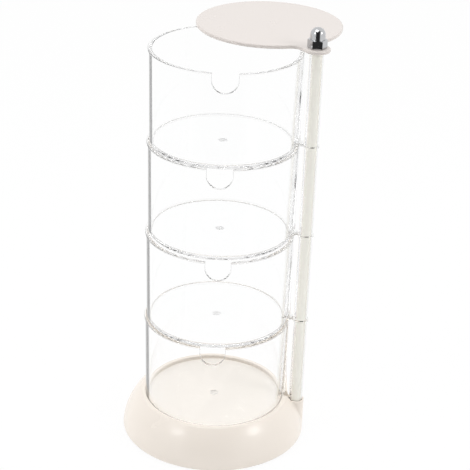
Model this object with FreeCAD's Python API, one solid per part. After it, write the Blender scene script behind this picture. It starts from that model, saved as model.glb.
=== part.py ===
"""Rotating makeup organizer: clear cups stacked on a domed base, turning about one post.

Millimetres, +Z up.  The origin is on the table under the middle of the lowest cup.
The post stands on the +X side and the finger notches look along -Y.
Cups and lid are drawn turned about the post as they stand at rest.
"""
import math
import os

import FreeCAD
import Part

# Post, and its axis's reach out from the cups' rim
post_reach = 7.1
post_radius = 3.4
thread_radius = 2.95
running_clearance = 0.1

# How far a cutting shape runs past what it cuts
overrun = 1.0

# Cups, all from one mould
cup_count = 4
cup_height = 57.2
rim_radius = 44.7
rim_bead = 0.7
rim_bead_height = 0.8
wall_draft = 0.9
cup_wall = 1.7
floor_thickness = 2.0
outer_corner_round = 2.0
inner_corner_round = 1.2
rim_round = 0.3
stack_gap = 0.3

# Finger notch in the front of each rim
notch_width = 14.8
notch_depth = 11.8

# Mark that the moulding gate leaves under each floor
gate_radius = 2.4
gate_depth = 0.5
gate_nub_radius = 0.9
gate_nub_height = 0.35

# Sleeve and web at the side of each cup
sleeve_radius = 4.25
web_thickness = 4.4
web_fillet = 1.1

# Turn of each cup about the post at rest, top cup first, and of the lid
cup_turns = (2.4, 0.8, 1.9, 0.0)
lid_turn = -57.0

# Base
base_margin = 0.05
base_edge_height = 0.8
base_edge_round = 0.9
seat_height = 21.3
lip_height = 24.8
lip_round = 0.7
lip_width = 2.6
lip_shoulder_round = 2.0
dome_bulge = 2.3
shell_wall = 2.4
seat_clearance = 0.25
slot_clearance = 0.3
boss_margin = 0.9
boss_fillet = 1.5
touching = 0.01
seam_probes = 9

# Ribs and foot bosses under the base
rib_count = 8
rib_thickness = 1.6
rib_depth = 3.8
rib_ring_radius = 15.0
foot_count = 4
foot_inset = 14.0
foot_radius = 4.5
foot_thickness = 1.6
foot_clearance = 0.15
foot_boss_wall = 1.4
foot_edge_round = 0.3

# Post ends
counterbore_depth = 2.0
bore_floor_height = 4.0
top_thread_length = 7.5
thread_clearance = 0.05
thread_chamfer = 0.6

# Lid
lid_inset = 0.8
lid_thickness = 2.2
lid_gap = 0.3
ear_radius = 7.9
ear_fillet = 7.0
lid_edge_round = 0.8

# Acorn nut
nut_flats = 10.0
nut_hex_height = 5.0
nut_height = 12.0
nut_dome_radius = 4.4
nut_chamfer = 0.5
nut_gap = 0.15

# Sizes that follow
post_distance = rim_radius + post_reach
wall_top_radius = rim_radius - rim_bead
cup_bottom_radius = wall_top_radius - wall_draft
cup_pitch = cup_height + stack_gap
stack_top = seat_height + cup_count * cup_height + (cup_count - 1) * stack_gap
lid_bottom = stack_top + lid_gap
lid_top = lid_bottom + lid_thickness
nut_bottom = lid_top + nut_gap
recess_radius = cup_bottom_radius + wall_draft * (lip_height - seat_height) / cup_height + seat_clearance
boss_radius = sleeve_radius + boss_margin
base_radius = post_distance + boss_radius + base_margin
foot_circle_radius = base_radius - foot_inset
lid_radius = rim_radius - lid_inset
foot_boss_radius = foot_radius + foot_clearance + foot_boss_wall
rib_bottom = seat_height - shell_wall - rib_depth
shaft_low = seat_height - counterbore_depth
post_axis = FreeCAD.Vector(post_distance, 0, 0)
up = FreeCAD.Vector(0, 0, 1)


def point(r, z):
    """A point of a profile that is turned about the Z axis."""
    return FreeCAD.Vector(r, 0, z)


def line(a, b):
    return Part.makeLine(a, b)


def bulged_arc(a, b, bulge):
    """An arc from a to b whose middle stands off the chord, away from the axis."""
    chord = b - a
    outward = FreeCAD.Vector(abs(chord.z), 0, abs(chord.x))
    middle = (a + b) * 0.5 + outward.normalize() * bulge
    return Part.Arc(a, middle, b).toShape()


def corner_arc(a, b, centre):
    """A quarter-like arc from a to b about a centre, on the side away from that centre."""
    radius = (a - centre).Length
    middle = centre + ((a + b) * 0.5 - centre).normalize() * radius
    return Part.Arc(a, middle, b).toShape()


def turned(edges):
    """A full turn of a closed profile about the Z axis."""
    face = Part.Face(Part.Wire(edges))
    return face.revolve(FreeCAD.Vector(0, 0, 0), up, 360)


def is_level_circle(edge, radius, height):
    """Whether an edge lies at this height and reaches this far from the Z axis."""
    box = edge.BoundBox
    return box.ZLength < 0.001 and abs(box.ZMax - height) < 0.001 and abs(box.XMax - radius) < 0.001


def turned_polygon(points):
    """A full turn of the polygon through these (r, z) points."""
    corners = [point(r, z) for r, z in points]
    return turned([line(a, b) for a, b in zip(corners, corners[1:] + corners[:1])])


def cylinder(radius, low, high, x=0.0, y=0.0):
    return Part.makeCylinder(radius, high - low, FreeCAD.Vector(x, y, low), up)


def about_post(shape, degrees):
    """The shape turned about the post's axis."""
    moved = shape.copy()
    moved.rotate(post_axis, up, degrees)
    return moved


def cup_body():
    """The cup's turned wall, floor and rim bead, standing on z = 0."""
    lean = wall_draft / cup_height
    inner_bottom = cup_bottom_radius + lean * floor_thickness - cup_wall
    inner_rim = wall_top_radius - cup_wall
    outside_low = point(cup_bottom_radius + lean * outer_corner_round, outer_corner_round)
    bead_low = cup_height - rim_bead_height
    under_bead = point(wall_top_radius - lean * rim_bead_height, bead_low)
    bead_out = point(rim_radius, bead_low)
    bead_high = point(rim_radius, cup_height - rim_round)
    rim_out = point(rim_radius - rim_round, cup_height)
    rim_in = point(inner_rim + rim_round, cup_height)
    inside_high = point(inner_rim - lean * rim_round, cup_height - rim_round)
    corner_height = floor_thickness + inner_corner_round
    inside_low = point(inner_bottom + lean * inner_corner_round, corner_height)
    floor_edge = point(inner_bottom - inner_corner_round, floor_thickness)
    foot_edge = point(cup_bottom_radius - outer_corner_round, 0)
    outer_centre = point(foot_edge.x, outer_corner_round)
    inner_centre = point(floor_edge.x, corner_height)
    rim_out_centre = point(rim_out.x, bead_high.z)
    rim_in_centre = point(rim_in.x, inside_high.z)
    return turned([
        line(point(0, 0), foot_edge),
        corner_arc(foot_edge, outside_low, outer_centre),
        line(outside_low, under_bead),
        line(under_bead, bead_out),
        line(bead_out, bead_high),
        corner_arc(bead_high, rim_out, rim_out_centre),
        line(rim_out, rim_in),
        corner_arc(rim_in, inside_high, rim_in_centre),
        line(inside_high, inside_low),
        corner_arc(inside_low, floor_edge, inner_centre),
        line(floor_edge, point(0, floor_thickness)),
        line(point(0, floor_thickness), point(0, 0)),
    ])


def web_block():
    """The web between wall and sleeve, its two flanks hollowed by an arc."""
    half = web_thickness / 2
    flare = half + web_fillet
    inner_x = wall_top_radius - cup_wall
    wall_x = math.sqrt(cup_bottom_radius ** 2 - flare ** 2)
    sleeve_x = post_distance - math.sqrt(sleeve_radius ** 2 - flare ** 2)
    waist_x = (wall_x + sleeve_x) / 2
    outline = []
    for side in (-1, 1):
        outline.append([
            FreeCAD.Vector(inner_x, side * flare, 0),
            FreeCAD.Vector(wall_x, side * flare, 0),
            FreeCAD.Vector(waist_x, side * half, 0),
            FreeCAD.Vector(sleeve_x, side * flare, 0),
            FreeCAD.Vector(post_distance, side * flare, 0),
        ])
    near, far = outline
    edges = [line(near[4], far[4]), line(far[0], near[0])]
    for flank in outline:
        edges.append(line(flank[0], flank[1]))
        edges.append(Part.Arc(flank[1], flank[2], flank[3]).toShape())
        edges.append(line(flank[3], flank[4]))
    return Part.Face(Part.Wire(Part.__sortEdges__(edges))).extrude(up * cup_height)


def notch_cutter():
    """A slot with a round bottom, run through the front wall only."""
    radius = notch_width / 2
    round_height = cup_height - notch_depth + radius
    start = FreeCAD.Vector(0, -rim_radius - cup_wall, round_height)
    toward_axis = FreeCAD.Vector(0, 1, 0)
    depth = 4 * cup_wall
    bottom = Part.makeCylinder(radius, depth, start, toward_axis)
    corner = start - FreeCAD.Vector(radius, 0, 0)
    sides = Part.makeBox(notch_width, depth, notch_depth, corner)
    return bottom.fuse(sides)


def clear_cup(turn, height):
    """One cup with notch, gate mark, web and beaded sleeve, placed at its height and turned."""
    body = cup_body()
    side = web_block().fuse(cylinder(sleeve_radius, 0, cup_height, post_distance))
    bead_radius = sleeve_radius + rim_bead
    side = side.fuse(cylinder(bead_radius, cup_height - rim_bead_height, cup_height, post_distance))
    side = side.cut(cylinder(cup_bottom_radius - cup_wall / 2, 0, cup_height))
    body = body.fuse(side)
    bore_radius = post_radius + running_clearance
    body = body.cut(cylinder(bore_radius, -overrun, cup_height + overrun, post_distance))
    body = body.cut(notch_cutter())
    body = body.cut(cylinder(gate_radius, -overrun, gate_depth))
    nub = cylinder(gate_nub_radius, gate_depth - gate_nub_height, gate_depth)
    body = body.fuse(nub).removeSplitter()
    body.translate(up * height)
    return about_post(body, turn)


def base_profile():
    """The base's domed shell: seat, lip round the seat, dome and rolled bottom edge."""
    low = base_edge_height
    lip_outer = recess_radius + lip_width
    seat_edge = point(recess_radius, seat_height)
    lip_low = point(recess_radius, lip_height - lip_round)
    lip_in = point(recess_radius + lip_round, lip_height)
    lip_out = point(lip_outer, lip_height)
    side_low = point(base_radius, low + base_edge_round)
    edge = point(base_radius - base_edge_round, low)
    inside_low = point(base_radius - shell_wall, low)
    inside_high = point(lip_outer, seat_height - shell_wall)
    under_seat = point(0, seat_height - shell_wall)
    shell = turned([
        line(point(0, seat_height), seat_edge),
        line(seat_edge, lip_low),
        corner_arc(lip_low, lip_in, point(lip_in.x, lip_low.z)),
        line(lip_in, lip_out),
        bulged_arc(lip_out, side_low, dome_bulge),
        corner_arc(side_low, edge, point(edge.x, side_low.z)),
        line(edge, inside_low),
        bulged_arc(inside_low, inside_high, dome_bulge),
        line(inside_high, under_seat),
        line(under_seat, point(0, seat_height)),
    ])
    shoulder = [e for e in shell.Edges if is_level_circle(e, lip_outer, lip_height)]
    return shell.makeFillet(lip_shoulder_round, shoulder)


def dome_envelope():
    """The solid inside the dome's inner face, which trims the ribs and foot bosses."""
    lip_outer = recess_radius + lip_width
    skin = shell_wall / 2
    low = point(base_radius - skin, base_edge_height)
    high = point(lip_outer, seat_height - skin)
    return turned([
        line(point(0, base_edge_height), low),
        bulged_arc(low, high, dome_bulge),
        line(high, point(0, high.z)),
        line(point(0, high.z), point(0, base_edge_height)),
    ])


def foot_places():
    """Centres of the feet, between the ribs."""
    places = []
    for i in range(foot_count):
        angle = math.radians(45 + 360 / foot_count * i)
        places.append((foot_circle_radius * math.cos(angle), foot_circle_radius * math.sin(angle)))
    return places


def base_ribs(top):
    """Radial ribs and one ring under the seat, up to a height inside the seat's wall."""
    ribs = cylinder(rib_ring_radius + rib_thickness / 2, rib_bottom, top)
    ribs = ribs.cut(cylinder(rib_ring_radius - rib_thickness / 2, rib_bottom, top))
    for i in range(rib_count):
        corner = FreeCAD.Vector(rib_ring_radius, -rib_thickness / 2, rib_bottom)
        rib = Part.makeBox(base_radius - rib_ring_radius, rib_thickness, top - rib_bottom, corner)
        rib.rotate(FreeCAD.Vector(0, 0, 0), up, 360 / rib_count * (i + 0.5))
        ribs = ribs.fuse(rib)
    return ribs


def is_boss_seam(edge):
    """Whether an edge climbs the boss's side where the boss meets the outside of the dome."""
    box = edge.BoundBox
    if box.ZLength < touching or box.YLength < touching or box.ZMax < seat_height - shell_wall + touching:
        return False
    for place in edge.discretize(seam_probes):
        away = math.hypot(place.x - post_distance, place.y)
        if abs(away - boss_radius) > touching:
            return False
    return True


def bossed_dome():
    """The domed shell with the boss for the post, blended into the dome's outside."""
    dome = base_profile()
    boss = cylinder(boss_radius, base_edge_height, seat_height, post_distance)
    shell = dome.fuse(boss).removeSplitter()
    seams = [edge for edge in shell.Edges if is_boss_seam(edge)]
    return shell.makeFillet(boss_fillet, seams)


def base_shell():
    """The base: domed shell, ribs, foot bosses, and the boss that holds the post."""
    seat_under = seat_height - shell_wall / 2
    inside = base_ribs(seat_under)
    for x, y in foot_places():
        inside = inside.fuse(cylinder(foot_boss_radius, base_edge_height, seat_under, x, y))
    shell = bossed_dome().fuse(inside.common(dome_envelope()))
    pocket_radius = sleeve_radius + slot_clearance
    shell = shell.cut(cylinder(pocket_radius, seat_height, lip_height + overrun, post_distance))
    slot_width = web_thickness + 2 * web_fillet + 2 * slot_clearance
    slot_corner = FreeCAD.Vector(recess_radius - lip_round, -slot_width / 2, seat_height)
    slot_length = post_distance - slot_corner.x
    shell = shell.cut(Part.makeBox(slot_length, slot_width, lip_height, slot_corner))
    bore_radius = thread_radius + thread_clearance
    shell = shell.cut(cylinder(bore_radius, bore_floor_height, seat_height, post_distance))
    shell = shell.cut(cylinder(post_radius + thread_clearance, shaft_low, seat_height, post_distance))
    for x, y in foot_places():
        shell = shell.cut(cylinder(foot_radius + foot_clearance, base_edge_height, foot_thickness, x, y))
    return shell.removeSplitter()


def foot(x, y):
    """A round rubber foot that stands a little below the base's edge."""
    pad = cylinder(foot_radius, 0, foot_thickness, x, y)
    lower_edges = [e for e in pad.Edges if e.BoundBox.ZMax < foot_edge_round]
    return pad.makeFillet(foot_edge_round, lower_edges)


def post():
    """The post: a plain shaft between two threaded ends."""
    thread_high = nut_bottom + top_thread_length
    tip_radius = thread_radius - thread_chamfer
    shape = turned_polygon([
        (0, bore_floor_height),
        (tip_radius, bore_floor_height),
        (thread_radius, bore_floor_height + thread_chamfer),
        (thread_radius, shaft_low),
        (post_radius, shaft_low),
        (post_radius, nut_bottom),
        (thread_radius, nut_bottom),
        (thread_radius, thread_high - thread_chamfer),
        (tip_radius, thread_high),
        (0, thread_high),
    ])
    shape.translate(post_axis)
    return shape


def acorn_nut():
    """A hexagon nut closed by a dome, with chamfered corners and a blind bore."""
    corner_radius = nut_flats / math.sqrt(3)
    corners = []
    for i in range(6):
        angle = math.radians(60 * i)
        corners.append(FreeCAD.Vector(math.cos(angle), math.sin(angle), 0) * corner_radius)
    hexagon = Part.Face(Part.makePolygon(corners + corners[:1])).extrude(up * nut_hex_height)
    flat_radius = nut_flats / 2
    outer = corner_radius + nut_chamfer
    hexagon = hexagon.common(turned_polygon([
        (0, 0),
        (flat_radius, 0),
        (outer, nut_chamfer),
        (outer, nut_hex_height - nut_chamfer),
        (flat_radius, nut_hex_height),
        (0, nut_hex_height),
    ]))
    shoulder = nut_height - nut_dome_radius
    dome = cylinder(nut_dome_radius, nut_hex_height - nut_chamfer, shoulder)
    dome = dome.fuse(Part.makeSphere(nut_dome_radius, up * shoulder))
    body = hexagon.fuse(dome)
    body = body.cut(cylinder(thread_radius + thread_clearance, -overrun, top_thread_length))
    body = body.removeSplitter()
    body.translate(post_axis + up * nut_bottom)
    return body


def lid():
    """A flat disc with a round ear on the post, drawn closed and then swung open."""
    disc = cylinder(lid_radius, lid_bottom, lid_top)
    ear = cylinder(ear_radius, lid_bottom, lid_top, post_distance)
    span = post_distance
    to_disc = lid_radius + ear_fillet
    to_ear = ear_radius + ear_fillet
    fillet_x = (span ** 2 + to_disc ** 2 - to_ear ** 2) / (2 * span)
    fillet_y = math.sqrt(to_disc ** 2 - fillet_x ** 2)
    centre = FreeCAD.Vector(fillet_x, fillet_y, lid_bottom)
    on_disc = FreeCAD.Vector(fillet_x, fillet_y, 0) * (lid_radius / to_disc)
    to_post = FreeCAD.Vector(post_distance - fillet_x, -fillet_y, 0)
    on_ear = FreeCAD.Vector(fillet_x, fillet_y, 0) + to_post * (ear_fillet / to_ear)
    level = up * lid_bottom
    neck_corners = [on_disc + level, on_ear + level]
    mirrored = [FreeCAD.Vector(p.x, -p.y, p.z) for p in reversed(neck_corners)]
    neck_outline = Part.makePolygon(neck_corners + mirrored + [neck_corners[0]])
    neck = Part.Face(neck_outline).extrude(up * lid_thickness)
    for side in (1, -1):
        hollow = cylinder(ear_fillet, lid_bottom - overrun, lid_top + overrun, centre.x, side * centre.y)
        neck = neck.cut(hollow)
    plate = disc.fuse(ear).fuse(neck).removeSplitter()
    rounded = [e for e in plate.Edges if e.BoundBox.ZLength < 0.01]
    plate = plate.makeFillet(lid_edge_round, rounded)
    bore_radius = post_radius + running_clearance
    plate = plate.cut(cylinder(bore_radius, lid_bottom - overrun, lid_top + overrun, post_distance))
    return about_post(plate, lid_turn)


def all_parts():
    """Every piece by its node name."""
    parts = {"base_shell": base_shell()}
    for i, turn in enumerate(cup_turns):
        height = seat_height + cup_pitch * (cup_count - 1 - i)
        parts["clear_cup_%d" % (i + 1)] = clear_cup(turn, height)
    parts["lid"] = lid()
    parts["post"] = post()
    parts["acorn_nut"] = acorn_nut()
    for i, (x, y) in enumerate(foot_places()):
        parts["rubber_foot_%d" % (i + 1)] = foot(x, y)
    return parts


os.makedirs("parts", exist_ok=True)
for name, shape in all_parts().items():
    solid = shape.Solids[0]
    print(name, "solids", len(shape.Solids), "valid", solid.isValid(), "volume", round(solid.Volume, 1))
    solid.exportStep("parts/%s.step" % name)
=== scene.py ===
import math

import bpy
import numpy
from mathutils import Matrix, Vector

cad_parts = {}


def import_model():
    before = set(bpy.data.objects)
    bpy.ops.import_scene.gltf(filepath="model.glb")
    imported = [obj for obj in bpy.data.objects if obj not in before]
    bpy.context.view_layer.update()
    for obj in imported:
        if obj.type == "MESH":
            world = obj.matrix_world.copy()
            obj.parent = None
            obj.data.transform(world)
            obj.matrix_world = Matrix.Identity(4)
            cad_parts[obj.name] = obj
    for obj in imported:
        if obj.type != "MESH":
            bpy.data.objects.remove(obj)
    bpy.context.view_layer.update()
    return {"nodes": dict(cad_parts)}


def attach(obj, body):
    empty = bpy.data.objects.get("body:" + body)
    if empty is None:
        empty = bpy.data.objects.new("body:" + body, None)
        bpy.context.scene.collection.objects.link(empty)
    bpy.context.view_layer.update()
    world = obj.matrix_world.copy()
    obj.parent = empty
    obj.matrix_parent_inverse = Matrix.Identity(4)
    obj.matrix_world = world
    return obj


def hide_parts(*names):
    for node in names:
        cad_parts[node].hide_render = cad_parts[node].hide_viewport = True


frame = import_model()

# The camera that the photograph was taken with: place in metres, angles in degrees
camera_place = Vector((0.0327, -0.8477, 0.5318))
camera_down = 25.19
camera_right = -1.58
camera_roll = 2.33
camera_lens = 118.94
sensor_width = 36.0

# Colours as linear red, green, blue
cream = (0.735, 0.68, 0.645)
base_cream = (0.89, 0.82, 0.745)
# Painted light: a lighter cream for the seat under the lowest cup, though the base is one plastic
painted_seat_light = (0.968, 0.923, 0.864)
post_cream = (0.965, 0.945, 0.87)
clear_tint = (0.998, 0.999, 0.999)
clear_gloss = (0.1, 0.1, 0.1)
# Painted shade: dark grey on the cup's outer edges seen edge on, and a lighter grey there on the web side
painted_edge_shade = (0.03, 0.03, 0.03)
painted_web_edge_shade = (0.85, 0.85, 0.86)
# Painted shade: grey on the sleeve where it is seen edge on
painted_sleeve_shade = (0.82, 0.82, 0.80)
# Painted shade: grey bands on the front of the rim and of the foot, where the cups meet
painted_rim_shade = (0.95, 0.95, 0.95)
painted_foot_shade = (0.86, 0.86, 0.86)
# Painted shade: grey on the notch's faces and a grey line along its edge
painted_notch_shade = (0.85, 0.85, 0.85)
painted_notch_line_shade = (0.82, 0.82, 0.82)
gate_grey = (0.96, 0.96, 0.96)
satin_roughness = 0.05
# Share of the foot band drawn as a grey see-through sheet, as painted shade
painted_band_share = 0.75
gate_roughness = 0.35
edge_starts = 0.72
edge_full = 0.76
sleeve_edge_starts = 0.2
sleeve_edge_full = 0.4

# Zones of the cup's material and of its painted shade in metres, from the cup's own axis and floor
notch_zone = 0.0078
notch_half = 0.0074
notch_middle = 0.0528
notch_line = 0.00035
sleeve_zone = 0.0475
gate_zone = 0.0027
rim_zone = 0.0563
foot_zone = 0.0022

chrome_colour = (0.53, 0.535, 0.545)
rubber_colour = (0.62, 0.60, 0.56)
floor_colour = (0.97, 0.97, 0.97)
floor_size = 6.0
floor_front = 0.46
floor_drop = 0.00005
white = (1.0, 1.0, 1.0)
dark_room = (0.04, 0.04, 0.04)
dark_gap_sides = (0.40, 0.62)
dark_gap_depth = (-0.4, -0.1)

# The clear cup's own shape in millimetres, the same as the solids have it
post_distance = 51.8
bore_radius = 3.5
cup_height = 57.2
cup_gap = 0.3
seat_height = 21.3
rim_radius = 44.7
rim_bead = 0.7
bead_height = 0.8
wall_draft = 0.9
cup_wall = 1.7
floor_thickness = 2.0
outer_round = 2.0
inner_round = 1.2
rim_round = 0.3
notch_width = 14.8
notch_depth = 11.8
gate_radius = 2.4
gate_depth = 0.5
nub_radius = 0.9
nub_height = 0.35
sleeve_radius = 4.25
web_half = 2.2
web_flare = 3.3
web_start = 42.6
overrun = 1.0
turn_steps = 360
sleeve_steps = 96
round_steps = 8
millimetre = 0.001

# Body and turn in degrees of each cup, from the top one down
cup_places = (("top_cup", 2.4), ("second_cup", 0.8), ("third_cup", 1.9), ("base", 0.0))


def corner(centre, radius, start, end):
    """A rounded corner's points in the profile plane; the angles are in degrees."""
    angles = [math.radians(start + (end - start) * i / round_steps) for i in range(round_steps + 1)]
    return [(centre[0] + radius * math.cos(a), centre[1] + radius * math.sin(a)) for a in angles]


def cup_profile():
    """The cup's half section as smooth runs of (radius, height) points, from the axis out and back."""
    lean = wall_draft / cup_height
    top_radius = rim_radius - rim_bead
    low_radius = top_radius - wall_draft
    inner_low = low_radius + lean * floor_thickness - cup_wall
    inner_top = top_radius - cup_wall
    bead_low = cup_height - bead_height
    foot_centre = (low_radius - outer_round, outer_round)
    inside_centre = (inner_low - inner_round, floor_thickness + inner_round)
    foot = corner(foot_centre, outer_round, -90, 0)
    rim_out = corner((rim_radius - rim_round, cup_height - rim_round), rim_round, 0, 90)
    rim_in = corner((inner_top + rim_round, cup_height - rim_round), rim_round, 90, 180)
    inside = corner(inside_centre, inner_round, 0, -90)
    gate_roof = gate_depth - nub_height
    return [
        [(0, gate_roof), (nub_radius, gate_roof)],
        [(nub_radius, gate_roof), (nub_radius, gate_depth)],
        [(nub_radius, gate_depth), (gate_radius, gate_depth)],
        [(gate_radius, gate_depth), (gate_radius, 0)],
        [(gate_radius, 0), *foot, (top_radius - lean * bead_height, bead_low)],
        [(top_radius - lean * bead_height, bead_low), (rim_radius, bead_low)],
        [(rim_radius, bead_low), *rim_out, *rim_in, *inside, (0, floor_thickness)],
    ]


def run_sections(runs):
    """Each straight piece of the runs: its two points and the outward normals at both of them."""
    sections = []
    for run in runs:
        points = numpy.array(run, dtype=float)
        steps = numpy.diff(points, axis=0)
        lengths = numpy.hypot(steps[:, 0], steps[:, 1])
        flat = numpy.stack([steps[:, 1], -steps[:, 0]], axis=1) / lengths[:, None]
        at_points = numpy.empty_like(points)
        at_points[0] = flat[0]
        at_points[-1] = flat[-1]
        long_before = lengths[:-1] > 1.0
        long_after = lengths[1:] > 1.0
        middle = flat[:-1] + flat[1:]
        middle[long_before] = flat[:-1][long_before]
        middle[long_after] = flat[1:][long_after]
        at_points[1:-1] = middle / numpy.linalg.norm(middle, axis=1)[:, None]
        for i in range(len(steps)):
            sections.append((points[i], points[i + 1], at_points[i], at_points[i + 1]))
    return sections


def mesh_object(name, points, faces, kind):
    """A closed mesh whose faces all carry this kind as their material number."""
    mesh = bpy.data.meshes.new(name)
    mesh.from_pydata(points, [], faces)
    for _ in range(4):
        mesh.materials.append(None)
    mesh.polygons.foreach_set("material_index", [kind] * len(faces))
    made = bpy.data.objects.new(name, mesh)
    bpy.context.scene.collection.objects.link(made)
    return made


def turned_object(name, runs):
    """The profile turned about the upright axis."""
    ring = []
    for run in runs:
        ring += run[:-1]
    ring.append(runs[-1][-1])
    turned = [p for p in ring if p[0] > 0]
    points = []
    for i in range(turn_steps):
        a = 2 * math.pi * i / turn_steps
        points += [(r * math.cos(a), r * math.sin(a), z) for r, z in turned]
    low_pole = len(points)
    high_pole = low_pole + 1
    points += [(0, 0, ring[0][1]), (0, 0, ring[-1][1])]
    faces = []
    count = len(turned)
    for i in range(turn_steps):
        here = i * count
        there = (i + 1) % turn_steps * count
        faces.append((low_pole, there, here))
        faces.append((high_pole, here + count - 1, there + count - 1))
        for j in range(count - 1):
            faces.append((here + j, there + j, there + j + 1, here + j + 1))
    return mesh_object(name, points, faces, 0)


def upright_object(name, outline, low, high, kind):
    """The outline, given anticlockwise, raised from low to high."""
    count = len(outline)
    points = [(x, y, low) for x, y in outline] + [(x, y, high) for x, y in outline]
    faces = [tuple(reversed(range(count))), tuple(range(count, 2 * count))]
    for i in range(count):
        j = (i + 1) % count
        faces.append((i, j, j + count, i + count))
    return mesh_object(name, points, faces, kind)


def circle(x, y, radius, start=0.0, end=360.0):
    """Points on a circle, without its last one."""
    count = sleeve_steps
    angles = [math.radians(start + (end - start) * i / count) for i in range(count)]
    return [(x + radius * math.cos(a), y + radius * math.sin(a)) for a in angles]


def flank_arc():
    """Centre x, distance of the centre from the web's middle plane, and radius of the flanks."""
    wall_x = math.sqrt((rim_radius - rim_bead - wall_draft) ** 2 - web_flare ** 2)
    sleeve_x = post_distance - math.sqrt(sleeve_radius ** 2 - web_flare ** 2)
    reach = (sleeve_x - wall_x) / 2
    rise = web_flare - web_half
    radius = (reach ** 2 + rise ** 2) / (2 * rise)
    return (wall_x + sleeve_x) / 2, web_half + radius, radius, reach


def side_outline():
    """Web and sleeve from above, anticlockwise."""
    x, y, radius, reach = flank_arc()
    spread = math.degrees(math.asin(reach / radius))
    angles = [math.radians(-spread + 2 * spread * i / round_steps) for i in range(round_steps + 1)]
    near = [(x + radius * math.sin(a), -y + radius * math.cos(a)) for a in angles]
    far = [(px, -py) for px, py in reversed(near)]
    back = math.degrees(math.asin(web_flare / sleeve_radius))
    sleeve = circle(post_distance, 0, sleeve_radius, back - 180, 180 - back)
    return [(web_start, -web_flare), *near, *sleeve[1:], *far, (web_start, web_flare)]


def notch_outline():
    """The notch seen from the front, as (x, height) points."""
    radius = notch_width / 2
    middle = cup_height - notch_depth + radius
    steps = 4 * round_steps
    angles = [math.pi + math.pi * i / steps for i in range(steps + 1)]
    low = [(radius * math.cos(a), middle + radius * math.sin(a)) for a in angles]
    return [*low, (radius, cup_height + overrun), (-radius, cup_height + overrun)]


def cup_normals(mesh, sections):
    """The true surface normal at every face corner, worked out from the shape that the face is part of."""
    loop_count = len(mesh.loops)
    corners = numpy.empty(loop_count, dtype=int)
    mesh.loops.foreach_get("vertex_index", corners)
    places = numpy.empty(len(mesh.vertices) * 3)
    mesh.vertices.foreach_get("co", places)
    places = places.reshape(-1, 3)[corners]
    face_count = len(mesh.polygons)
    kinds = numpy.empty(face_count, dtype=int)
    mesh.polygons.foreach_get("material_index", kinds)
    totals = numpy.empty(face_count, dtype=int)
    mesh.polygons.foreach_get("loop_total", totals)
    flats = numpy.empty(face_count * 3)
    mesh.polygons.foreach_get("normal", flats)
    centres = numpy.empty(face_count * 3)
    mesh.polygons.foreach_get("center", centres)
    of_face = numpy.repeat(numpy.arange(face_count), totals)
    flat = flats.reshape(-1, 3)[of_face]
    centre = centres.reshape(-1, 3)[of_face]
    kind = kinds[of_face]
    level = abs(flat[:, 2]) > 0.9999
    result = flat.copy()

    turned = (kind == 0) & ~level
    result[turned] = turned_normals(places[turned], centre[turned], flat[turned], sections)

    about_post = places[:, :2] - (post_distance, 0)
    far = numpy.hypot(about_post[:, 0], about_post[:, 1])
    on_circle = (abs(far - sleeve_radius) < 0.02) & (kind == 1) & (centre[:, 0] > post_distance - sleeve_radius + 1.6)
    on_circle |= kind == 2
    on_circle &= ~level
    radial = numpy.zeros_like(flat)
    radial[:, :2] = about_post / numpy.maximum(far, 1e-9)[:, None]
    radial *= numpy.sign((radial * flat).sum(axis=1))[:, None]
    result[on_circle] = radial[on_circle]

    x, y, radius, reach = flank_arc()
    from_arc = numpy.stack([places[:, 0] - x, places[:, 1] - numpy.sign(places[:, 1]) * y], axis=1)
    off_arc = abs(numpy.hypot(from_arc[:, 0], from_arc[:, 1]) - radius)
    on_flank = (kind == 1) & (off_arc < 0.02) & (abs(centre[:, 0] - x) < reach) & ~level & ~on_circle
    bent = numpy.zeros_like(flat)
    bent[:, :2] = -from_arc / radius
    result[on_flank] = bent[on_flank]

    middle = cup_height - notch_depth + notch_width / 2
    on_notch = (kind == 3) & (centre[:, 2] < middle)
    inward = numpy.stack([-places[:, 0], numpy.zeros(loop_count), middle - places[:, 2]], axis=1)
    inward /= numpy.maximum(numpy.linalg.norm(inward, axis=1), 1e-9)[:, None]
    result[on_notch] = inward[on_notch]
    return result


def turned_normals(places, centres, flat, sections):
    """Normals on the turned surface, blended along the profile section that each face lies on."""
    radii = numpy.hypot(centres[:, 0], centres[:, 1])
    best = numpy.full(len(places), 1e9)
    found = numpy.zeros((len(places), 2))
    own_radii = numpy.hypot(places[:, 0], places[:, 1])
    slope = numpy.stack([(flat[:, :2] * centres[:, :2]).sum(axis=1) / numpy.maximum(radii, 1e-9), flat[:, 2]], axis=1)
    for start, end, first, last in sections:
        along = end - start
        size = along @ along
        t = numpy.clip(((radii - start[0]) * along[0] + (centres[:, 2] - start[1]) * along[1]) / size, 0, 1)
        off = numpy.hypot(start[0] + t * along[0] - radii, start[1] + t * along[1] - centres[:, 2])
        out = numpy.array([along[1], -along[0]]) / math.sqrt(size)
        off = off + 2.0 * (1 - slope @ out)
        nearer = off < best
        best[nearer] = off[nearer]
        u = ((own_radii - start[0]) * along[0] + (places[:, 2] - start[1]) * along[1]) / size
        u = numpy.clip(u, 0, 1)[:, None]
        found[nearer] = (first * (1 - u) + last * u)[nearer]
    found /= numpy.linalg.norm(found, axis=1)[:, None]
    around = places[:, :2] / numpy.maximum(own_radii, 1e-9)[:, None]
    return numpy.concatenate([around * found[:, :1], found[:, 1:]], axis=1)


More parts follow.
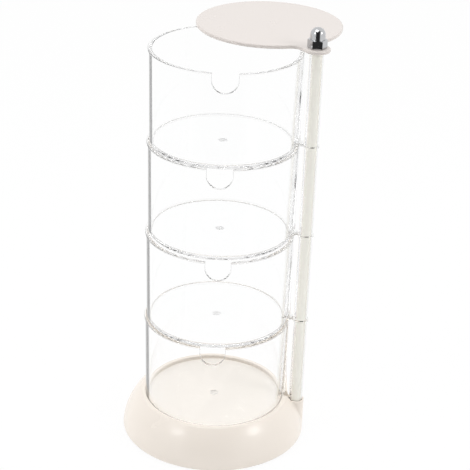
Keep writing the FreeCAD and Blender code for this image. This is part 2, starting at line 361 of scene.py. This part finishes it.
def cup_mesh():
    """One cup in metres on its own axis and floor, its normals exact."""
    runs = cup_profile()
    body = turned_object("cup_body", runs)
    side = upright_object("cup_side", side_outline(), 0, cup_height, 1)
    bead_low = cup_height - bead_height
    bead = upright_object("cup_bead", circle(post_distance, 0, sleeve_radius + rim_bead), bead_low, cup_height, 2)
    bore = upright_object("cup_bore", circle(post_distance, 0, bore_radius), -overrun, cup_height + overrun, 2)
    notch = upright_object("cup_notch", notch_outline(), 0, 4 * cup_wall, 3)
    front = -rim_radius - cup_wall
    notch.data.transform(Matrix(((1, 0, 0, 0), (0, 0, 1, front), (0, 1, 0, 0), (0, 0, 0, 1))))
    notch.data.flip_normals()
    tools = ((side, "UNION"), (bead, "UNION"), (bore, "DIFFERENCE"), (notch, "DIFFERENCE"))
    for tool, operation in tools:
        step = body.modifiers.new(tool.name, "BOOLEAN")
        step.operation = operation
        step.solver = "EXACT"
        step.material_mode = "INDEX"
        step.object = tool
    bpy.context.view_layer.update()
    mesh = bpy.data.meshes.new_from_object(body.evaluated_get(bpy.context.evaluated_depsgraph_get()))
    mesh.name = "clear_cup"
    normals = cup_normals(mesh, run_sections(runs))
    mesh.polygons.foreach_set("material_index", [0] * len(mesh.polygons))
    mesh.polygons.foreach_set("use_smooth", [True] * len(mesh.polygons))
    mesh.materials.clear()
    mesh.normals_split_custom_set(normals.tolist())
    places = numpy.empty(len(mesh.vertices) * 3)
    mesh.vertices.foreach_get("co", places)
    mesh.vertices.foreach_set("co", places * millimetre)
    mesh.update()
    for used in (body, side, bead, bore, notch):
        bpy.data.objects.remove(used)
    return mesh


def stand_cups(made):
    """Shows the four cups, each turned about the post and standing on the one below."""
    mesh = cup_mesh()
    mesh.materials.append(made)
    post = Vector((post_distance * millimetre, 0, 0))
    for i, (body, turn) in enumerate(cup_places):
        cup = bpy.data.objects.new(f"clear_cup_shown_{i + 1}", mesh)
        bpy.context.scene.collection.objects.link(cup)
        below = len(cup_places) - 1 - i
        height = (seat_height + below * (cup_height + cup_gap)) * millimetre
        turned = Matrix.Rotation(math.radians(turn), 4, "Z")
        lifted = Matrix.Translation(post + Vector((0, 0, height)))
        cup.matrix_world = lifted @ turned @ Matrix.Translation(-post)
        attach(cup, body)
        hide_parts(f"clear_cup_{i + 1}")


def material(name):
    """A new node material, its shader tree and its Principled shader."""
    made = bpy.data.materials.new(name)
    made.use_nodes = True
    tree = made.node_tree
    return made, tree, tree.nodes["Principled BSDF"]


def noise(tree, scale, detail=2.0, stretch=(1.0, 1.0, 1.0)):
    """Noise that sticks to the object; its scale is in waves per metre."""
    place = tree.nodes.new("ShaderNodeTexCoord")
    mapping = tree.nodes.new("ShaderNodeMapping")
    mapping.inputs["Scale"].default_value = stretch
    tree.links.new(place.outputs["Object"], mapping.inputs["Vector"])
    texture = tree.nodes.new("ShaderNodeTexNoise")
    texture.inputs["Scale"].default_value = scale
    texture.inputs["Detail"].default_value = detail
    tree.links.new(mapping.outputs["Vector"], texture.inputs["Vector"])
    return texture.outputs["Fac"]


def ranged(tree, value, low, high):
    """The value, which runs from 0 to 1, spread from low to high."""
    node = tree.nodes.new("ShaderNodeMapRange")
    node.inputs["From Min"].default_value = 0.3
    node.inputs["From Max"].default_value = 0.7
    node.inputs["To Min"].default_value = low
    node.inputs["To Max"].default_value = high
    tree.links.new(value, node.inputs["Value"])
    return node.outputs["Result"]


def mixed_colour(tree, factor, first, second):
    node = tree.nodes.new("ShaderNodeMix")
    node.data_type = "RGBA"
    node.inputs["A"].default_value = (*first, 1.0)
    node.inputs["B"].default_value = (*second, 1.0)
    tree.links.new(factor, node.inputs["Factor"])
    return node.outputs["Result"]


def bumped(tree, shader, height, strength, distance):
    node = tree.nodes.new("ShaderNodeBump")
    node.inputs["Strength"].default_value = strength
    node.inputs["Distance"].default_value = distance
    tree.links.new(height, node.inputs["Height"])
    tree.links.new(node.outputs["Normal"], shader.inputs["Normal"])


def scaled(colour, factor):
    return tuple(part * factor for part in colour)


def moulded_plastic(name, colour, roughness):
    """Glossy opaque plastic with faint flow clouds, a fine orange peel and handling haze."""
    made, tree, shader = material(name)
    clouds = noise(tree, 14.0, 2.0)
    tone = mixed_colour(tree, ranged(tree, clouds, 0.0, 1.0), colour, scaled(colour, 0.993))
    tree.links.new(tone, shader.inputs["Base Color"])
    haze = noise(tree, 45.0, 4.0)
    tree.links.new(ranged(tree, haze, roughness, roughness * 1.25), shader.inputs["Roughness"])
    shader.inputs["IOR"].default_value = 1.5
    bumped(tree, shader, noise(tree, 900.0), 0.04, 0.00004)
    return made


def calc(tree, operation, first, second=None):
    """The result of a math node; each input is a number or another node's output."""
    node = tree.nodes.new("ShaderNodeMath")
    node.operation = operation
    for place, value in enumerate((first, second)):
        if isinstance(value, (int, float)):
            node.inputs[place].default_value = value
        elif value is not None:
            tree.links.new(value, node.inputs[place])
    return node.outputs[0]


def between(tree, value, low, high):
    """1 where the value lies between low and high, otherwise 0."""
    over = calc(tree, "GREATER_THAN", value, low)
    return calc(tree, "MULTIPLY", over, calc(tree, "LESS_THAN", value, high))


def faded(tree, value, low, high):
    """0 below low, 1 above high, and a soft change between them."""
    node = tree.nodes.new("ShaderNodeMapRange")
    node.interpolation_type = "SMOOTHSTEP"
    node.inputs["From Min"].default_value = low
    node.inputs["From Max"].default_value = high
    tree.links.new(value, node.inputs["Value"])
    return node.outputs["Result"]


def parts_of(tree, vector):
    node = tree.nodes.new("ShaderNodeSeparateXYZ")
    tree.links.new(vector, node.inputs[0])
    return node.outputs


def tinted(tree, factor, colour, tint):
    """The colour, which is another node's output, changed to the tint by the factor."""
    node = tree.nodes.new("ShaderNodeMix")
    node.data_type = "RGBA"
    tree.links.new(colour, node.inputs["A"])
    node.inputs["B"].default_value = (*tint, 1.0)
    tree.links.new(factor, node.inputs["Factor"])
    return node.outputs["Result"]


def cup_zones(tree):
    """Masks on a cup, from its own axis and floor, mostly for its painted shade: outer edge seen edge on, web side,
    sleeve edge, notch, notch line, gate, front half, rim and foot.
    """
    place = tree.nodes.new("ShaderNodeTexCoord")
    x, y, z = parts_of(tree, place.outputs["Object"])
    across, along, upward = parts_of(tree, place.outputs["Normal"])
    outward = calc(tree, "ADD", calc(tree, "MULTIPLY", x, across), calc(tree, "MULTIPLY", y, along))
    facing = tree.nodes.new("ShaderNodeLayerWeight")
    facing.inputs["Blend"].default_value = 0.5
    edge = tree.nodes.new("ShaderNodeMapRange")
    edge.inputs["From Min"].default_value = edge_starts
    edge.inputs["From Max"].default_value = edge_full
    tree.links.new(facing.outputs["Facing"], edge.inputs["Value"])
    outside = calc(tree, "MULTIPLY", calc(tree, "GREATER_THAN", outward, 0.02), edge.outputs["Result"])
    outside = calc(tree, "MULTIPLY", outside, between(tree, z, foot_zone, rim_zone))
    sleeve = faded(tree, facing.outputs["Facing"], sleeve_edge_starts, sleeve_edge_full)
    sleeve = calc(tree, "MULTIPLY", sleeve, calc(tree, "GREATER_THAN", x, sleeve_zone))
    web_side = faded(tree, x, 0.0, 0.03)
    radius = calc(tree, "SQRT", calc(tree, "ADD", calc(tree, "MULTIPLY", x, x), calc(tree, "MULTIPLY", y, y)))
    notch = calc(tree, "LESS_THAN", calc(tree, "ABSOLUTE", along), 0.5)
    notch = calc(tree, "MULTIPLY", notch, between(tree, x, -notch_zone, notch_zone))
    notch = calc(tree, "MULTIPLY", notch, calc(tree, "LESS_THAN", y, -0.042))
    notch = calc(tree, "MULTIPLY", notch, between(tree, z, 0.044, 0.0565))
    below = calc(tree, "MINIMUM", calc(tree, "SUBTRACT", z, notch_middle), 0.0)
    off_notch = calc(tree, "SQRT", calc(tree, "ADD", calc(tree, "MULTIPLY", x, x), calc(tree, "MULTIPLY", below, below)))
    notch_edge = between(tree, off_notch, notch_half, notch_half + notch_line)
    notch_edge = calc(tree, "MULTIPLY", notch_edge, calc(tree, "LESS_THAN", along, -0.9))
    notch_edge = calc(tree, "MULTIPLY", notch_edge, calc(tree, "LESS_THAN", y, -0.04))
    notch_edge = calc(tree, "MULTIPLY", notch_edge, between(tree, z, 0.044, rim_zone))
    gate = calc(tree, "MULTIPLY", calc(tree, "LESS_THAN", radius, gate_zone), calc(tree, "LESS_THAN", z, 0.001))
    front = calc(tree, "SUBTRACT", 1.0, faded(tree, y, -0.015, 0.015))
    off_sleeve = calc(tree, "LESS_THAN", x, sleeve_zone)
    rim = calc(tree, "MULTIPLY", calc(tree, "GREATER_THAN", z, rim_zone), off_sleeve)
    foot = calc(tree, "MULTIPLY", calc(tree, "LESS_THAN", z, foot_zone), calc(tree, "GREATER_THAN", radius, 0.041))
    foot = calc(tree, "MULTIPLY", foot, off_sleeve)
    return outside, web_side, sleeve, notch, notch_edge, gate, front, rim, foot


def clear_plastic():
    """Polished clear plastic with painted shade: grey painted at its outer edges, sleeve edges, notch, rim and foot,
    satin at rims and gate, and it lets lamps through.
    """
    made, tree, shader = material("clear_plastic_shown")
    outside, web_side, sleeve, notch, notch_edge, gate, front, rim, foot = cup_zones(tree)
    # Painted shade at the outer edges, lighter on the web side
    painted_edge_tone = mixed_colour(tree, web_side, painted_edge_shade, painted_web_edge_shade)
    tone = tree.nodes.new("ShaderNodeMix")
    tone.data_type = "RGBA"
    tone.inputs["A"].default_value = (*clear_tint, 1.0)
    tree.links.new(painted_edge_tone, tone.inputs["B"])
    tree.links.new(outside, tone.inputs["Factor"])
    # Painted shade on the sleeve's edges
    colour = tinted(tree, sleeve, tone.outputs["Result"], painted_sleeve_shade)
    # Painted shade: grey bands on the front of the rim and the foot
    colour = tinted(tree, calc(tree, "MULTIPLY", rim, front), colour, painted_rim_shade)
    colour = tinted(tree, calc(tree, "MULTIPLY", foot, front), colour, painted_foot_shade)
    # Painted shade on the notch's edge line and faces
    colour = tinted(tree, notch_edge, colour, painted_notch_line_shade)
    colour = tinted(tree, notch, colour, painted_notch_shade)
    colour = tinted(tree, gate, colour, gate_grey)
    tree.links.new(colour, shader.inputs["Base Color"])
    shader.inputs["Transmission Weight"].default_value = 1.0
    shader.inputs["IOR"].default_value = 1.55
    shader.inputs["Specular Tint"].default_value = (*clear_gloss, 1.0)
    scratches = noise(tree, 420.0, 6.0, (1.0, 1.0, 0.08))
    rough = ranged(tree, scratches, 0.0, 0.02)
    satin = calc(tree, "MAXIMUM", rim, foot)
    rough = calc(tree, "MAXIMUM", rough, calc(tree, "MULTIPLY", satin, satin_roughness))
    rough = calc(tree, "MAXIMUM", rough, calc(tree, "MULTIPLY", gate, gate_roughness))
    tree.links.new(rough, shader.inputs["Roughness"])
    path = tree.nodes.new("ShaderNodeLightPath")
    either = calc(tree, "MAXIMUM", path.outputs["Is Shadow Ray"], path.outputs["Is Diffuse Ray"])
    through = tree.nodes.new("ShaderNodeBsdfTransparent")
    through.inputs["Color"].default_value = (0.998, 0.998, 0.998, 1.0)
    # Painted shade: a grey see-through sheet over most of the foot band, darker at the front
    shade_band = tree.nodes.new("ShaderNodeBsdfTransparent")
    painted_band_tone = mixed_colour(tree, front, painted_rim_shade, painted_foot_shade)
    tree.links.new(painted_band_tone, shade_band.inputs["Color"])
    band_shaded = tree.nodes.new("ShaderNodeMixShader")
    tree.links.new(calc(tree, "MULTIPLY", foot, painted_band_share), band_shaded.inputs["Fac"])
    tree.links.new(shader.outputs["BSDF"], band_shaded.inputs[1])
    tree.links.new(shade_band.outputs["BSDF"], band_shaded.inputs[2])
    mix = tree.nodes.new("ShaderNodeMixShader")
    tree.links.new(either, mix.inputs["Fac"])
    tree.links.new(band_shaded.outputs["Shader"], mix.inputs[1])
    tree.links.new(through.outputs["BSDF"], mix.inputs[2])
    tree.links.new(mix.outputs["Shader"], tree.nodes["Material Output"].inputs["Surface"])
    return made


def chrome():
    """Bright plated steel with a trace of unevenness."""
    made, tree, shader = material("chrome_shown")
    shader.inputs["Base Color"].default_value = (*chrome_colour, 1.0)
    shader.inputs["Metallic"].default_value = 1.0
    tree.links.new(ranged(tree, noise(tree, 260.0, 4.0), 0.04, 0.12), shader.inputs["Roughness"])
    bumped(tree, shader, noise(tree, 320.0), 0.15, 0.0001)
    return made


def rubber():
    made, tree, shader = material("foot_rubber_shown")
    tone = mixed_colour(tree, ranged(tree, noise(tree, 300.0), 0.0, 1.0), rubber_colour, scaled(rubber_colour, 0.85))
    tree.links.new(tone, shader.inputs["Base Color"])
    shader.inputs["Roughness"].default_value = 0.75
    bumped(tree, shader, noise(tree, 2600.0), 0.3, 0.00005)
    return made


def base_plastic():
    """The base's plastic, with painted light: the seat that the lowest cup stands on is coloured lighter than the
    rest.
    """
    made = moulded_plastic("base_plastic_shown", base_cream, 0.22)
    tree = made.node_tree
    shader = tree.nodes["Principled BSDF"]
    place = tree.nodes.new("ShaderNodeTexCoord")
    x, y, z = parts_of(tree, place.outputs["Object"])
    radius = calc(tree, "SQRT", calc(tree, "ADD", calc(tree, "MULTIPLY", x, x), calc(tree, "MULTIPLY", y, y)))
    # Painted light: the seat's floor is coloured lighter than the rest of the base
    seat = calc(tree, "MULTIPLY", between(tree, z, 0.0205, 0.0216), calc(tree, "LESS_THAN", radius, 0.0434))
    plain = shader.inputs["Base Color"].links[0].from_socket
    tree.links.new(tinted(tree, seat, plain, painted_seat_light), shader.inputs["Base Color"])
    return made


def dress(node, made):
    """Gives a CAD node this material in place of its plain one."""
    mesh = frame["nodes"][node].data
    mesh.materials.clear()
    mesh.materials.append(made)


def floor():
    """A pale floor that keeps the shadow and shows mostly white to the camera, metal and glass."""
    middle = (0.0, floor_size / 2 - floor_front, -floor_drop)
    bpy.ops.mesh.primitive_plane_add(size=floor_size, location=middle)
    plane = bpy.context.object
    plane.name = "studio_floor"
    made, tree, shader = material("studio_floor")
    shader.inputs["Base Color"].default_value = (*floor_colour, 1.0)
    shader.inputs["Roughness"].default_value = 0.9
    shader.inputs["Specular IOR Level"].default_value = 0.0
    glow = tree.nodes.new("ShaderNodeEmission")
    path = tree.nodes.new("ShaderNodeLightPath")
    seen = path.outputs["Is Camera Ray"]
    for kind in ("Is Glossy Ray", "Is Transmission Ray"):
        either = tree.nodes.new("ShaderNodeMath")
        either.operation = "MAXIMUM"
        tree.links.new(seen, either.inputs[0])
        tree.links.new(path.outputs[kind], either.inputs[1])
        seen = either.outputs[0]
    share = tree.nodes.new("ShaderNodeMath")
    share.operation = "MULTIPLY"
    share.inputs[1].default_value = 0.93
    tree.links.new(seen, share.inputs[0])
    mix = tree.nodes.new("ShaderNodeMixShader")
    tree.links.new(share.outputs[0], mix.inputs["Fac"])
    tree.links.new(shader.outputs["BSDF"], mix.inputs[1])
    tree.links.new(glow.outputs["Emission"], mix.inputs[2])
    tree.links.new(mix.outputs["Shader"], tree.nodes["Material Output"].inputs["Surface"])
    plane.data.materials.append(made)


def softbox(name, place, target, size, power):
    """A square area lamp that looks at a point."""
    light = bpy.data.lights.new(name, "AREA")
    light.shape = "RECTANGLE"
    light.size, light.size_y = size
    light.energy = power
    lamp = bpy.data.objects.new(name, light)
    bpy.context.scene.collection.objects.link(lamp)
    lamp.location = place
    lamp.rotation_euler = (Vector(target) - Vector(place)).to_track_quat("-Z", "Y").to_euler()
    return lamp


def world():
    """A pale room all round, with a dark gap behind the camera that shows in reflections and as less light."""
    made = bpy.data.worlds.new("studio")
    bpy.context.scene.world = made
    made.use_nodes = True
    tree = made.node_tree
    background = tree.nodes["Background"]
    place = tree.nodes.new("ShaderNodeTexCoord")
    across, along, upward = parts_of(tree, place.outputs["Generated"])
    off_middle = faded(tree, calc(tree, "ABSOLUTE", across), *dark_gap_sides)
    ahead = faded(tree, along, *dark_gap_depth)
    path = tree.nodes.new("ShaderNodeLightPath")
    seen = calc(tree, "MAXIMUM", path.outputs["Is Camera Ray"], path.outputs["Is Transmission Ray"])
    lit = calc(tree, "MAXIMUM", calc(tree, "MAXIMUM", off_middle, ahead), seen)
    tone = mixed_colour(tree, lit, dark_room, white)
    tree.links.new(tone, background.inputs["Color"])
    background.inputs["Strength"].default_value = 1.0


def camera():
    data = bpy.data.cameras.new("photo_camera")
    data.lens = camera_lens
    data.sensor_width = sensor_width
    data.clip_start = 0.01
    eye = bpy.data.objects.new("photo_camera", data)
    bpy.context.scene.collection.objects.link(eye)
    heading = Matrix.Rotation(math.radians(-camera_right), 4, "Z")
    tilt = Matrix.Rotation(math.radians(90 - camera_down), 4, "X")
    roll = Matrix.Rotation(math.radians(camera_roll), 4, "Z")
    eye.matrix_world = Matrix.Translation(camera_place) @ heading @ tilt @ roll
    bpy.context.scene.camera = eye


cream_plastic = moulded_plastic("cream_plastic_shown", cream, 0.22)
post_coating = moulded_plastic("post_coating_shown", post_cream, 0.35)
clear = clear_plastic()
dress("base_shell", base_plastic())
dress("lid", cream_plastic)
dress("post", post_coating)
dress("acorn_nut", chrome())
rubber_material = rubber()
stand_cups(clear)
for node in frame["nodes"]:
    if node.startswith("rubber_foot"):
        dress(node, rubber_material)

floor()
world()
softbox("key", (-0.92, -0.77, 0.84), (0, 0, 0.06), (0.38, 0.34), 2.15)
softbox("fill", (1.1, -0.49, 0.84), (0, 0, 0.06), (0.36, 0.34), 3.1)
softbox("top", (-0.3, -0.35, 1.5), (0, 0, 0.1), (1.0, 0.8), 5.2)
camera()

scene = bpy.context.scene
scene.view_settings.view_transform = "Standard"
scene.cycles.max_bounces = 40
scene.cycles.transmission_bounces = 40
scene.cycles.glossy_bounces = 40
scene.cycles.transparent_max_bounces = 40
